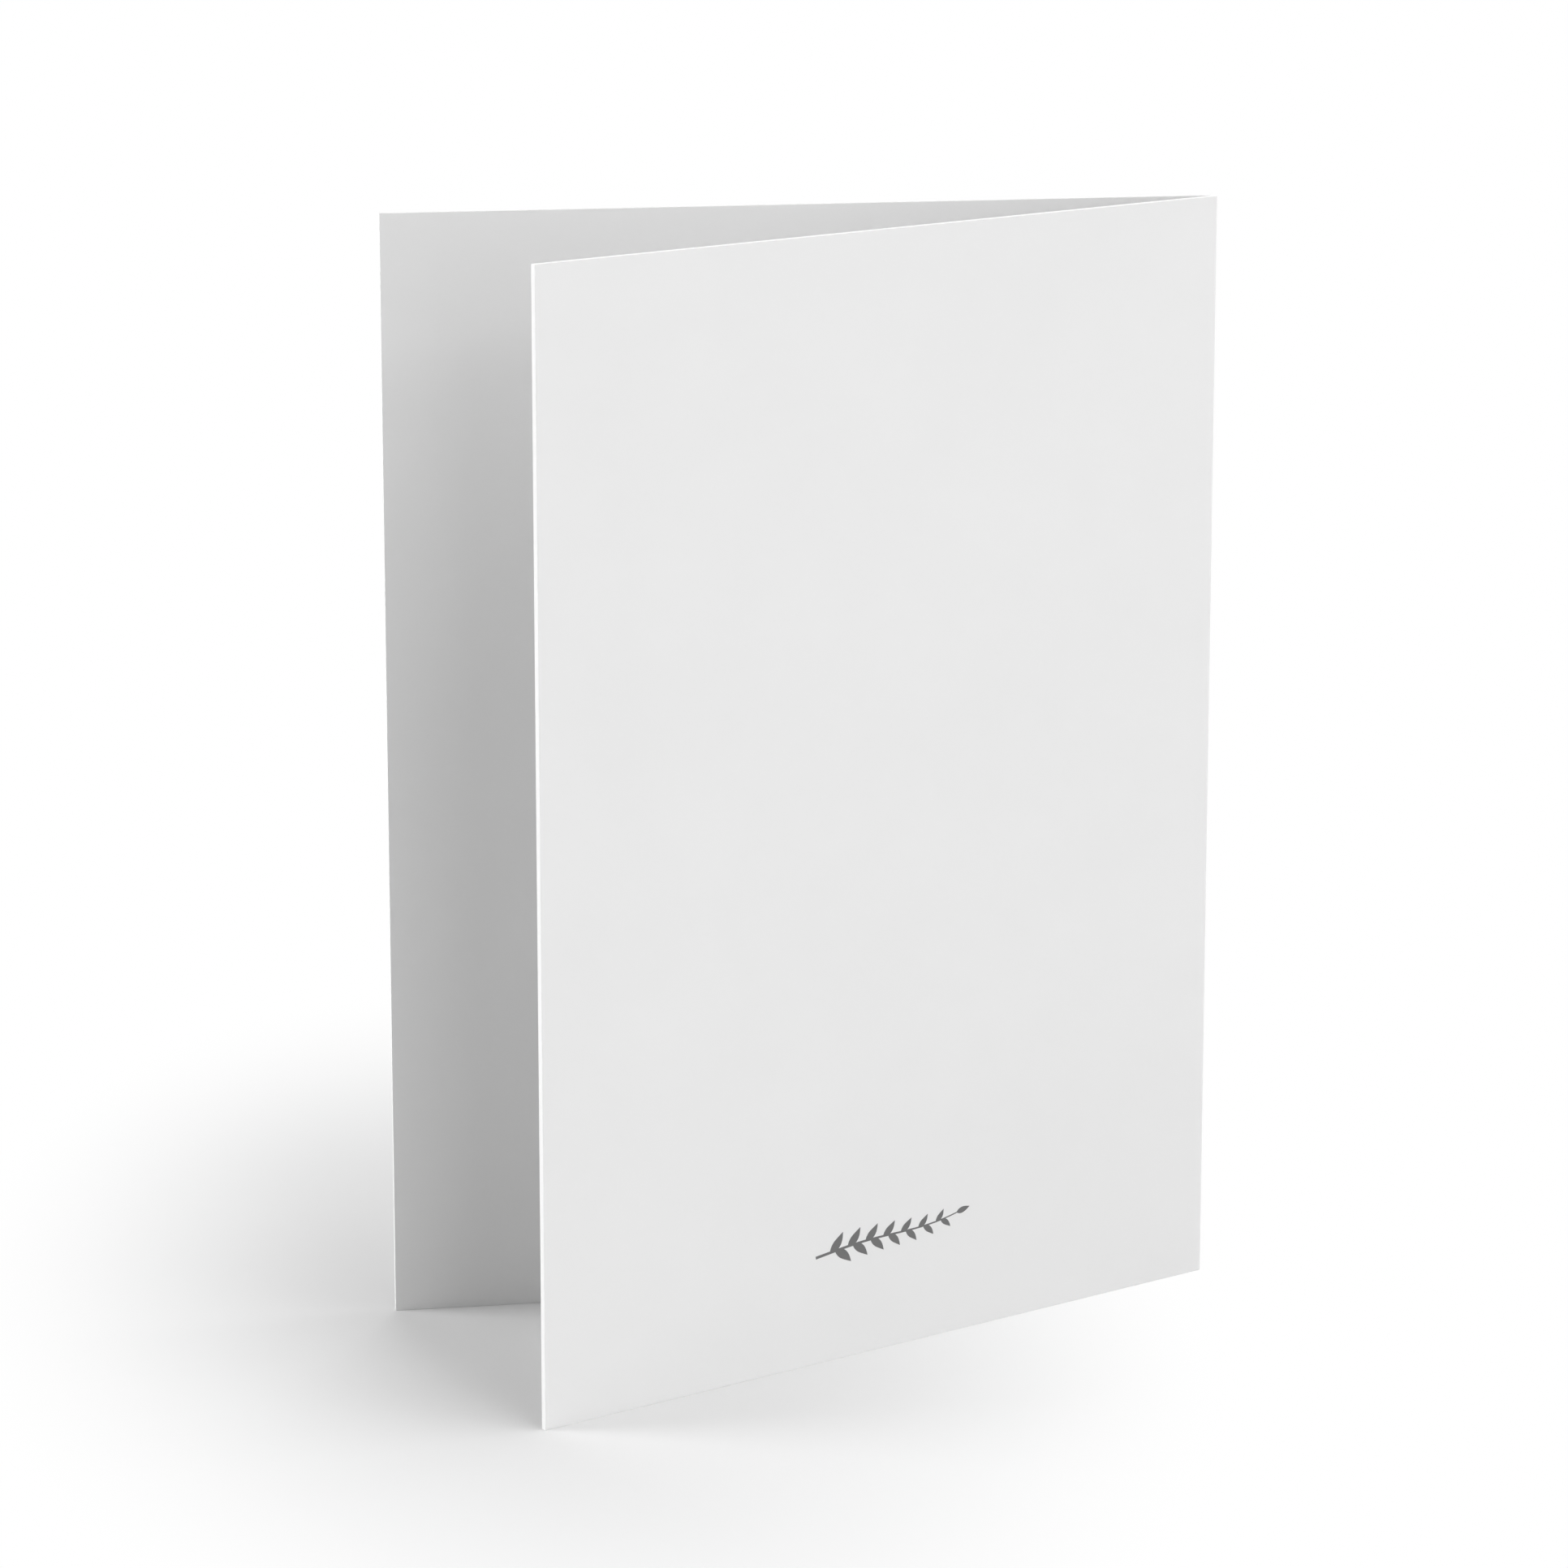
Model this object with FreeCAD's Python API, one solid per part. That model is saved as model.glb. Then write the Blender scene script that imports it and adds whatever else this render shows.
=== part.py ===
import FreeCAD, Part
import math
import os

# Greeting card: one sheet of thick stock, folded once down its middle and standing open.
# +Z is up. The fold is at +X and the two panels open towards -X.
# The back panel is on the -Y side and the front cover is on the +Y side.
# The origin is the centre of the footprint, on the surface that the card stands on.

# Sheet, in millimetres.
panel_width = 114.3        # closed card, from the outside of the fold to the free edge
panel_height = 152.4       # along the fold
stock_thickness = 0.85     # the same through both panels and round the fold

# Fold.
fold_inside_radius = 0.25  # inner face of the bend
opening_angle = 27.8       # degrees, between the inner faces of the two panels

half_angle = math.radians(opening_angle) / 2
fold_outside_radius = fold_inside_radius + stock_thickness
panel_flat = panel_width - fold_outside_radius

# Both arcs of the fold share one centre, on the X axis. It is placed to centre the
# footprint, which runs from the inner corners of the free edges to the outside of the fold.
free_edge_reach = panel_flat * math.cos(half_angle) - fold_inside_radius * math.sin(half_angle)
fold_centre = FreeCAD.Vector((free_edge_reach - fold_outside_radius) / 2, 0, 0)

# Directions of the cover in plan: square out of its face, and along it to the free edge.
cover_outward = FreeCAD.Vector(math.sin(half_angle), math.cos(half_angle), 0)
cover_along = FreeCAD.Vector(-math.cos(half_angle), math.sin(half_angle), 0)


def on_cover(radius, distance):
    """Point of the cover in plan, on the face at this fold radius, this far from the fold."""
    return fold_centre + cover_outward * radius + cover_along * distance


def on_back(radius, distance):
    """The same point of the back panel, which mirrors the cover in the XZ plane."""
    point = on_cover(radius, distance)
    return FreeCAD.Vector(point.x, -point.y, 0)


def bend(radius):
    """Arc round the fold, from the back panel to the cover."""
    crown = fold_centre + FreeCAD.Vector(radius, 0, 0)
    return Part.Arc(on_back(radius, 0), crown, on_cover(radius, 0)).toShape()


# Corners of the section where the stock is cut square, at the free edge of each panel.
back_outer_corner = on_back(fold_outside_radius, panel_flat)
back_inner_corner = on_back(fold_inside_radius, panel_flat)
cover_outer_corner = on_cover(fold_outside_radius, panel_flat)
cover_inner_corner = on_cover(fold_inside_radius, panel_flat)

# Section of the sheet, round the outside from back to cover and home along the inside.
section = Part.Wire([
    Part.makeLine(back_outer_corner, on_back(fold_outside_radius, 0)),
    bend(fold_outside_radius),
    Part.makeLine(on_cover(fold_outside_radius, 0), cover_outer_corner),
    Part.makeLine(cover_outer_corner, cover_inner_corner),
    Part.makeLine(cover_inner_corner, on_cover(fold_inside_radius, 0)),
    bend(fold_inside_radius),
    Part.makeLine(on_back(fold_inside_radius, 0), back_inner_corner),
    Part.makeLine(back_inner_corner, back_outer_corner),
])
folded_card = Part.Face(section).extrude(FreeCAD.Vector(0, 0, panel_height))

os.makedirs("parts", exist_ok=True)
folded_card.exportStep("parts/folded_card.step")
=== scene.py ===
import math

import bpy
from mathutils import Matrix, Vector


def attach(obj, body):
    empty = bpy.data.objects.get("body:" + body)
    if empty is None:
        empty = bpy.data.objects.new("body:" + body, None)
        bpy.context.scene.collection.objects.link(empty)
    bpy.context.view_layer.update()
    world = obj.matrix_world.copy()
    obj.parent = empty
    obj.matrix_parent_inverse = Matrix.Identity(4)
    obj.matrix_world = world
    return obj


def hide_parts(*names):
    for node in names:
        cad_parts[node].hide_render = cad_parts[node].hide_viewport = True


# Greeting card: a folded sheet of thick white stock with a small printed sprig on its back.
# Sizes are in millimetres, and MM turns them into the scene's metres.
MM = 0.001

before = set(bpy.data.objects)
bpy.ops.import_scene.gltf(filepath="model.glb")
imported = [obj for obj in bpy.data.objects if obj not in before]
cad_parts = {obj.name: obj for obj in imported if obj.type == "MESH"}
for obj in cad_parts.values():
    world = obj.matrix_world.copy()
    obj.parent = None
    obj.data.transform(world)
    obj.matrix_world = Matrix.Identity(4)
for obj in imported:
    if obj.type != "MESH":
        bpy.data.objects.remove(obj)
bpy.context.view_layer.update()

# The sheet, with the sizes of the part's source
PANEL_WIDTH = 114.3
PANEL_HEIGHT = 152.4
STOCK = 0.85
FOLD_INSIDE = 0.25
OPENING = math.radians(27.8)
# How far the softening of the cut edges reaches along the sheet, into the stock and up the card
EDGE_ROUND = (0.07, 0.07, 0.12)

HALF = OPENING / 2
FOLD_OUTSIDE = FOLD_INSIDE + STOCK
FLAT = PANEL_WIDTH - FOLD_OUTSIDE
FOLD_ARC = math.pi - OPENING
FOLD_LENGTH = (FOLD_INSIDE + STOCK / 2) * FOLD_ARC
SHEET_LENGTH = 2 * FLAT + FOLD_LENGTH
FOLD_CENTRE = (FLAT * math.cos(HALF) - FOLD_INSIDE * math.sin(HALF) - FOLD_OUTSIDE) / 2

# Mesh steps along each panel, round the fold, through the stock and up the card
PANEL_STEPS = 44
FOLD_STEPS = 28
STOCK_STEPS = 4
HEIGHT_STEPS = 60
# Half of a softened edge is sampled at these angles, in degrees, from its crest to the flat
ROUNDING_ANGLES = (45, 30, 15, 0)

# The flat sheet's three directions, and the materials of its faces and its cut edges
ALONG, THROUGH, UP = range(3)
FACE_MATERIAL, CUT_MATERIAL = range(2)


def fold_frame(s):
    """For a place s along the flat sheet, from the back panel's free edge to the cover's:
    the point of the fold's axis line, the way outward and the way along the sheet, in plan."""
    if s <= FLAT:
        turn, back_off = HALF - math.pi / 2, s - FLAT
    elif s < FLAT + FOLD_LENGTH:
        turn, back_off = HALF - math.pi / 2 + (s - FLAT) / FOLD_LENGTH * FOLD_ARC, 0.0
    else:
        turn, back_off = math.pi / 2 - HALF, s - FLAT - FOLD_LENGTH
    outward = Vector((math.cos(turn), math.sin(turn), 0.0))
    along = Vector((-math.sin(turn), math.cos(turn), 0.0))
    return Vector((FOLD_CENTRE, 0.0, 0.0)) + along * back_off, outward, along


def on_sheet(s, depth, z):
    """Point of the folded sheet, in millimetres. Depth is measured into the stock from its outside."""
    base, outward, _ = fold_frame(s)
    return base + outward * (FOLD_OUTSIDE - depth) + Vector((0.0, 0.0, z))


def rounded(length, reach, inner_samples):
    """Samples over a length whose two ends are rounded off, as far in as the reach."""
    rim = [reach * (1 - math.tan(math.radians(a))) for a in ROUNDING_ANGLES]
    far = [length - r for r in reversed(rim)]
    return rim + inner_samples + far


def even(start, end, count):
    """Evenly spaced values between two ends, without the ends."""
    return [start + (end - start) * i / count for i in range(1, count)]


def make_mesh(name, points, faces, normals=None):
    """Object from points in millimetres. With normals it is smooth, and without them flat."""
    mesh = bpy.data.meshes.new(name)
    mesh.from_pydata([tuple(p * MM) for p in points], [], faces)
    mesh.update()
    for polygon in mesh.polygons:
        polygon.use_smooth = normals is not None
    if normals is not None:
        mesh.normals_split_custom_set_from_vertices([tuple(n) for n in normals])
    thing = bpy.data.objects.new(name, mesh)
    bpy.context.scene.collection.objects.link(thing)
    return thing


def card_sheet():
    """The whole sheet as one closed mesh: a thin slab with softened edges, bent round the fold."""
    along_reach, through_reach, up_reach = EDGE_ROUND
    along = rounded(
        SHEET_LENGTH,
        along_reach,
        even(along_reach, FLAT, PANEL_STEPS)
        + [FLAT]
        + even(FLAT, FLAT + FOLD_LENGTH, FOLD_STEPS)
        + [FLAT + FOLD_LENGTH]
        + even(FLAT + FOLD_LENGTH, SHEET_LENGTH - along_reach, PANEL_STEPS),
    )
    through = rounded(STOCK, through_reach, even(through_reach, STOCK - through_reach, STOCK_STEPS))
    up = rounded(PANEL_HEIGHT, up_reach, even(up_reach, PANEL_HEIGHT - up_reach, HEIGHT_STEPS))
    sizes = (SHEET_LENGTH, STOCK, PANEL_HEIGHT)
    counts = (len(along), len(through), len(up))
    index, points, normals, place = {}, [], [], []

    def vertex(i, j, k):
        """Number of the point at these samples, made when it is first asked for."""
        key = (i, j, k)
        if key not in index:
            flat = (along[i], through[j], up[k])
            core = [min(max(v, r), size - r) for v, size, r in zip(flat, sizes, EDGE_ROUND)]
            out = Vector([(v - c) / r for v, c, r in zip(flat, core, EDGE_ROUND)]).normalized()
            s, depth, z = [c + r * d for c, r, d in zip(core, EDGE_ROUND, out)]
            lean = Vector([d / r for d, r in zip(out, EDGE_ROUND)]).normalized()
            _, outward, forward = fold_frame(s)
            index[key] = len(points)
            points.append(on_sheet(s, depth, z))
            normals.append((forward * lean.x - outward * lean.y + Vector((0.0, 0.0, lean.z))).normalized())
            place.append((s, depth, z))
        return index[key]

    faces, sides = [], []
    for fixed in (ALONG, THROUGH, UP):
        a, b = [n for n in (ALONG, THROUGH, UP) if n != fixed]
        for end in (0, counts[fixed] - 1):
            for p in range(counts[a] - 1):
                for q in range(counts[b] - 1):
                    corner = []
                    for da, db in ((0, 0), (1, 0), (1, 1), (0, 1)):
                        at = [0, 0, 0]
                        at[fixed], at[a], at[b] = end, p + da, q + db
                        corner.append(vertex(*at))
                    away = sum((normals[c] for c in corner), Vector())
                    flat_normal = (points[corner[1]] - points[corner[0]]).cross(
                        points[corner[3]] - points[corner[0]]
                    )
                    if flat_normal.dot(away) < 0:
                        corner.reverse()
                    faces.append(corner)
                    sides.append(fixed)
    card = make_mesh("card_sheet", points, faces, normals)
    # Sheet coordinates in millimetres: along and up on the faces, along and across on the cut edges.
    layout = card.data.uv_layers.new(name="sheet_mm")
    for polygon, side in zip(card.data.polygons, sides):
        polygon.material_index = FACE_MATERIAL if side == THROUGH else CUT_MATERIAL
        for loop in polygon.loop_indices:
            s, depth, z = place[card.data.loops[loop].vertex_index]
            layout.data[loop].uv = {ALONG: (z, depth), THROUGH: (s, z), UP: (s, depth)}[side]
    return card


# The print: a spray of leaves, in millimetres on the back panel, as it is read
SPRIG_CENTRE = (56.0, 16.4)   # from the fold's end of the back panel, and up from its foot
INK_LIFT = 0.012              # of the leaves, above the stock
STEM_LIFT = INK_LIFT + 0.004  # a little more, where the stem crosses the leaves
INK_SUNK = 0.03               # of the ink's underside, below the stock's face

STEM_FOOT = (-12.6, -1.5)     # from the sprig's centre
STEM_RUN = 24.4
STEM_RISE = 2.4
STEM_WAVE = 0.55
STEM_HALF_WAVES = 1.6
STEM_HALF_WIDTH = 0.20        # at its foot
STEM_TAPER = 0.12             # how much of that is gone at its tip
STEM_STEPS = 40

LEAF_PAIRS = 7
FIRST_PAIR = 0.10             # places on the stem, which runs from 0 to 1
PAIR_SPACING = 0.125
RIGHT_LEAF_SHIFT = 0.035      # how much further on the right leaf of a pair starts
STEM_DIRECTION_STEP = 0.01
TIP_DIRECTION_STEP = 0.02
SIZE_LOST_BY_TIP = 0.48       # share of the first pair's size
LEAF_ANGLE = math.radians(42)
LEAF_LENGTH = 3.5
LEAF_HALF_WIDTH = 0.68
LEAF_BOW = -0.25
TIP_LENGTH = 2.3
TIP_HALF_WIDTH = 0.42
LEAF_STEPS = 14
LEAF_SKEW = 0.8               # under 1, the leaf is fullest before its middle
LEAF_FULLNESS = 0.9           # under 1, the leaf is fuller towards its ends
LEAF_POINT = 0.02             # least half width


def on_back(x, y, lift):
    """Point on the back panel's outside, x to the right as it is read and y up."""
    return on_sheet(FLAT - SPRIG_CENTRE[0] + x, -lift, SPRIG_CENTRE[1] + y)


def stem(t):
    """The sprig's stem: a shallow wave, t from 0 at its foot to 1 at its tip."""
    x = STEM_FOOT[0] + STEM_RUN * t
    y = STEM_FOOT[1] + STEM_RISE * t * t + STEM_WAVE * math.sin(math.pi * STEM_HALF_WAVES * t)
    return Vector((x, y))


def stroke(shapes, line, widths, lift):
    """Add a stem or leaf shape: a centre line with a half width at each of its points."""
    left, right = [], []
    for i, point in enumerate(line):
        before, after = line[max(i - 1, 0)], line[min(i + 1, len(line) - 1)]
        ahead = (after - before).normalized()
        square = Vector((-ahead.y, ahead.x)) * widths[i]
        left.append(point + square)
        right.append(point - square)
    shapes.append((left, right, lift))


def leaf(shapes, foot, heading, length, width, bow):
    """Add a pointed leaf from its foot, bowed slightly to one side. The width is half of its own."""
    ahead = Vector((math.cos(heading), math.sin(heading)))
    side = Vector((-ahead.y, ahead.x))
    line, widths = [], []
    for i in range(LEAF_STEPS + 1):
        t = i / LEAF_STEPS
        line.append(foot + ahead * (length * t) + side * (bow * math.sin(math.pi * t)))
        widths.append(max(width * math.sin(math.pi * t ** LEAF_SKEW) ** LEAF_FULLNESS, LEAF_POINT))
    stroke(shapes, line, widths, INK_LIFT)


def printed_sprig():
    """A small generic spray of leaves, as thin ink shapes that lie on the stock."""
    shapes = []
    places = [i / STEM_STEPS for i in range(STEM_STEPS + 1)]
    widths = [STEM_HALF_WIDTH - STEM_TAPER * t for t in places]
    stroke(shapes, [stem(t) for t in places], widths, STEM_LIFT)
    for i in range(LEAF_PAIRS):
        t = FIRST_PAIR + PAIR_SPACING * i
        size = 1 - SIZE_LOST_BY_TIP * t
        run = stem(t + STEM_DIRECTION_STEP) - stem(t)
        heading = math.atan2(run.y, run.x)
        for side, shift in ((1, 0.0), (-1, RIGHT_LEAF_SHIFT)):
            leaf(
                shapes,
                stem(t + shift),
                heading + side * LEAF_ANGLE,
                LEAF_LENGTH * size,
                LEAF_HALF_WIDTH * size,
                side * LEAF_BOW * size,
            )
    tip = stem(1.0)
    run = tip - stem(1.0 - TIP_DIRECTION_STEP)
    leaf(shapes, tip, math.atan2(run.y, run.x), TIP_LENGTH, TIP_HALF_WIDTH, 0.0)

    # Each shape becomes a closed strip: its top, then its underside in the stock, two points a step.
    points, faces = [], []
    for left, right, lift in shapes:
        first = len(points)
        count = len(left)
        for height in (lift, -INK_SUNK):
            for a, b in zip(left, right):
                points.append(on_back(a.x, a.y, height))
                points.append(on_back(b.x, b.y, height))
        under = 2 * count

        def at(i, side, low):
            return first + 2 * i + side + (under if low else 0)

        for i in range(count - 1):
            faces.append([at(i, 1, 0), at(i + 1, 1, 0), at(i + 1, 0, 0), at(i, 0, 0)])
            faces.append([at(i, 0, 1), at(i + 1, 0, 1), at(i + 1, 1, 1), at(i, 1, 1)])
            faces.append([at(i, 0, 0), at(i + 1, 0, 0), at(i + 1, 0, 1), at(i, 0, 1)])
            faces.append([at(i, 1, 1), at(i + 1, 1, 1), at(i + 1, 1, 0), at(i, 1, 0)])
        for i, p, q in ((0, 0, 1), (count - 1, 1, 0)):
            faces.append([at(i, p, 0), at(i, p, 1), at(i, q, 1), at(i, q, 0)])
    return make_mesh("printed_sprig", points, faces)


# Materials
def grey(value):
    return (value, value, value)


def new_material(name, colour, roughness, specular):
    """Material with one Principled shader, its node tree and that shader."""
    material = bpy.data.materials.new(name)
    material.use_nodes = True
    shader = material.node_tree.nodes["Principled BSDF"]
    shader.inputs["Base Color"].default_value = (*colour, 1.0)
    shader.inputs["Roughness"].default_value = roughness
    shader.inputs["Specular IOR Level"].default_value = specular
    return material, material.node_tree, shader


def node(tree, kind, **values):
    """New node with these inputs set, or these settings where it has no such input."""
    made = tree.nodes.new(kind)
    for key, value in values.items():
        if key in made.inputs:
            made.inputs[key].default_value = value
        else:
            setattr(made, key, value)
    return made


def noise(tree, source, scale, detail):
    made = node(tree, "ShaderNodeTexNoise", Scale=scale, Detail=detail, Roughness=0.55)
    tree.links.new(source, made.inputs["Vector"])
    return made.outputs["Fac"]


def mottled(tree, shader, value, low, high):
    """Base colour that drifts between two close tones with a value from 0 to 1."""
    ramp = tree.nodes.new("ShaderNodeValToRGB")
    for element, position, colour in zip(ramp.color_ramp.elements, (0.3, 0.7), (low, high)):
        element.position = position
        element.color = (*colour, 1.0)
    tree.links.new(value, ramp.inputs["Fac"])
    tree.links.new(ramp.outputs["Color"], shader.inputs["Base Color"])


def bumped(tree, shader, height, strength, distance):
    bump = node(tree, "ShaderNodeBump", Strength=strength, Distance=distance * MM)
    tree.links.new(height, bump.inputs["Height"])
    tree.links.new(bump.outputs["Normal"], shader.inputs["Normal"])


def card_stock():
    """Uncoated stock: a faint tooth and a fainter drift of tone."""
    material, tree, shader = new_material("card_stock", grey(0.8), roughness=0.9, specular=0.15)
    place = tree.nodes.new("ShaderNodeTexCoord").outputs["Object"]
    tooth = noise(tree, place, scale=1.6 / MM, detail=3.0)
    cloud = noise(tree, place, scale=0.05 / MM, detail=2.0)
    mottled(tree, shader, cloud, low=grey(0.794), high=grey(0.806))
    bumped(tree, shader, tooth, strength=0.25, distance=0.02)
    return material


def cut_stock_painted_highlight():
    """The cut edge: the same stock, with its layers showing as faint lines along the cut, painted lighter
    than the faces as a highlight.
    """
    # The cut edge's grey, well above the faces' 0.8, is a painted highlight that keeps the cut edges
    # bright.
    material, tree, shader = new_material("cut_stock_painted_highlight", grey(0.95), roughness=0.95, specular=0.15)
    place = node(tree, "ShaderNodeUVMap", uv_map="sheet_mm")
    stretch = node(tree, "ShaderNodeMapping", Scale=(0.6, 7.0, 1.0))
    tree.links.new(place.outputs["UV"], stretch.inputs["Vector"])
    layers = noise(tree, stretch.outputs["Vector"], scale=1.0, detail=4.0)
    # The layer lines drift round 0.95, which is the painted highlight's lightness.
    mottled(tree, shader, layers, low=grey(0.94), high=grey(0.96))
    bumped(tree, shader, layers, strength=0.3, distance=0.04)
    return material


def print_ink():
    material, _, _ = new_material("print_ink", grey(0.155), roughness=0.7, specular=0.3)
    return material


# The card, put together
card = card_sheet()
card.data.materials.append(card_stock())
card.data.materials.append(cut_stock_painted_highlight())
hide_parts("folded_card")
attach(card, "root")

sprig = printed_sprig()
sprig.data.materials.append(print_ink())
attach(sprig, "root")

# Floor and backdrop
WHITE = (1.0, 1.0, 1.0, 1.0)
DOME = 0.1                # strength of the world's own light
BACKDROP = 1.0            # strength at which the backdrop shows as white
FLOOR_REACH = 12000.0
# The floor shows its grey and the card's real shadow inside an oval round the card, and white outside it,
# so the oval is a painted shade pool. These are its centre, turn and length over width, with the half
# widths where it starts to pale and where it is white.
SHADE_CENTRE = (-29.2, 27.8)
SHADE_TURN = math.radians(-15.1)
SHADE_STRETCH = 1.95
SHADED_WITHIN = 21.8
WHITE_BEYOND = 87.3


def seen_directly(tree):
    """1 for the rays that show the backdrop as it is: from the camera, off gloss or through glass."""
    path = tree.nodes.new("ShaderNodeLightPath")
    total = path.outputs["Is Camera Ray"]
    for kind in ("Is Glossy Ray", "Is Transmission Ray"):
        either = node(tree, "ShaderNodeMath", operation="MAXIMUM")
        tree.links.new(total, either.inputs[0])
        tree.links.new(path.outputs[kind], either.inputs[1])
        total = either.outputs[0]
    return total


def studio_floor():
    """Pale floor with the card's shadow in a painted shade pool, an oval that pales to the backdrop's
    white.
    """
    corners = [(-FLOOR_REACH, -FLOOR_REACH), (FLOOR_REACH, -FLOOR_REACH),
               (FLOOR_REACH, FLOOR_REACH), (-FLOOR_REACH, FLOOR_REACH)]
    floor = make_mesh("studio_floor", [Vector((x, y, 0.0)) for x, y in corners], [[0, 1, 2, 3]])
    material, tree, shader = new_material("studio_floor", grey(0.8), roughness=0.95, specular=0.0)
    place = tree.nodes.new("ShaderNodeNewGeometry").outputs["Position"]
    oval = node(
        tree,
        "ShaderNodeMapping",
        vector_type="TEXTURE",
        Location=(SHADE_CENTRE[0] * MM, SHADE_CENTRE[1] * MM, 0.0),
        Rotation=(0.0, 0.0, SHADE_TURN),
        Scale=(1.0, SHADE_STRETCH, 1.0),
    )
    tree.links.new(place, oval.inputs["Vector"])
    distance = node(tree, "ShaderNodeVectorMath", operation="LENGTH")
    tree.links.new(oval.outputs["Vector"], distance.inputs[0])
    # Smooth fade from the floor's grey to white across the oval's edge, which is the outline of the
    # painted shade pool.
    fade = node(tree, "ShaderNodeMapRange", interpolation_type="SMOOTHSTEP")
    fade.inputs["From Min"].default_value = SHADED_WITHIN * MM
    fade.inputs["From Max"].default_value = WHITE_BEYOND * MM
    tree.links.new(distance.outputs["Value"], fade.inputs["Value"])
    amount = node(tree, "ShaderNodeMath", operation="MULTIPLY")
    tree.links.new(fade.outputs["Result"], amount.inputs[0])
    tree.links.new(seen_directly(tree), amount.inputs[1])
    white = node(tree, "ShaderNodeEmission", Color=WHITE, Strength=BACKDROP)
    blend = node(tree, "ShaderNodeMixShader")
    tree.links.new(amount.outputs[0], blend.inputs[0])
    tree.links.new(shader.outputs["BSDF"], blend.inputs[1])
    tree.links.new(white.outputs["Emission"], blend.inputs[2])
    tree.links.new(blend.outputs["Shader"], tree.nodes["Material Output"].inputs["Surface"])
    floor.data.materials.append(material)


def studio_world():
    """Faint light from all round, and the white backdrop above the floor."""
    world = bpy.data.worlds.new("studio_world")
    bpy.context.scene.world = world
    world.use_nodes = True
    tree = world.node_tree
    tree.nodes.clear()
    dome = node(tree, "ShaderNodeBackground", Color=WHITE, Strength=DOME)
    backdrop = node(tree, "ShaderNodeBackground", Color=WHITE, Strength=BACKDROP)
    mix = node(tree, "ShaderNodeMixShader")
    out = node(tree, "ShaderNodeOutputWorld")
    tree.links.new(seen_directly(tree), mix.inputs[0])
    tree.links.new(dome.outputs[0], mix.inputs[1])
    tree.links.new(backdrop.outputs[0], mix.inputs[2])
    tree.links.new(mix.outputs[0], out.inputs["Surface"])


studio_floor()
studio_world()

# Lamps, in metres
LAMP_DISTANCE = 2.4
LAMP_AIM = Vector((0.0, 0.0, 0.07))


def toward(azimuth, elevation):
    """Way from the card to a lamp or camera at that azimuth and elevation, in radians."""
    level = math.cos(elevation)
    return Vector((math.sin(azimuth) * level, -math.cos(azimuth) * level, math.sin(elevation)))


def soft_lamp(name, azimuth, elevation, side, power):
    """Square lamp that faces the card: azimuth and elevation in degrees, side in metres, power in watts.
    Azimuth 0 is in front of the back panel and 90 is beyond the fold."""
    data = bpy.data.lights.new(name, "AREA")
    data.shape = "SQUARE"
    data.size = side
    data.energy = power
    lamp = bpy.data.objects.new(name, data)
    bpy.context.scene.collection.objects.link(lamp)
    way = toward(math.radians(azimuth), math.radians(elevation))
    lamp.location = LAMP_AIM + way * LAMP_DISTANCE
    lamp.rotation_euler = (-way).to_track_quat("-Z", "Y").to_euler()
    lamp.visible_camera = False


soft_lamp("lamp_front_low", azimuth=0, elevation=14, side=1.1, power=13.5)
soft_lamp("lamp_front_right", azimuth=21, elevation=38, side=1.6, power=19.2)
soft_lamp("lamp_right", azimuth=66, elevation=38, side=1.6, power=8.9)
soft_lamp("lamp_right_high", azimuth=66, elevation=66, side=1.1, power=11.9)
soft_lamp("lamp_right_low", azimuth=111, elevation=14, side=1.1, power=5.6)
soft_lamp("lamp_back_right", azimuth=156, elevation=38, side=1.6, power=16.4)
soft_lamp("lamp_left_low", azimuth=246, elevation=14, side=1.1, power=37.8)
soft_lamp("lamp_left_high", azimuth=246, elevation=66, side=1.1, power=8.0)

# Camera
VIEW_AZIMUTH = math.radians(-23.9)
VIEW_ELEVATION = math.radians(12.7)
VIEW_DISTANCE = 792.4
VIEW_TARGET = Vector((-8.84, 0.0, 76.13))
LENS = 135.2
SENSOR_WIDTH = 36.0
NEAR_CLIP = 10.0
FAR_CLIP = 100000.0

lens = bpy.data.cameras.new("camera")
lens.lens = LENS
lens.sensor_width = SENSOR_WIDTH
lens.clip_start = NEAR_CLIP * MM
lens.clip_end = FAR_CLIP * MM
camera = bpy.data.objects.new("camera", lens)
bpy.context.scene.collection.objects.link(camera)
backward = toward(VIEW_AZIMUTH, VIEW_ELEVATION)
camera.location = (VIEW_TARGET + backward * VIEW_DISTANCE) * MM
camera.rotation_mode = "QUATERNION"
camera.rotation_quaternion = (-backward).to_track_quat("-Z", "Y")
bpy.context.scene.camera = camera

bpy.context.scene.view_settings.view_transform = "Standard"
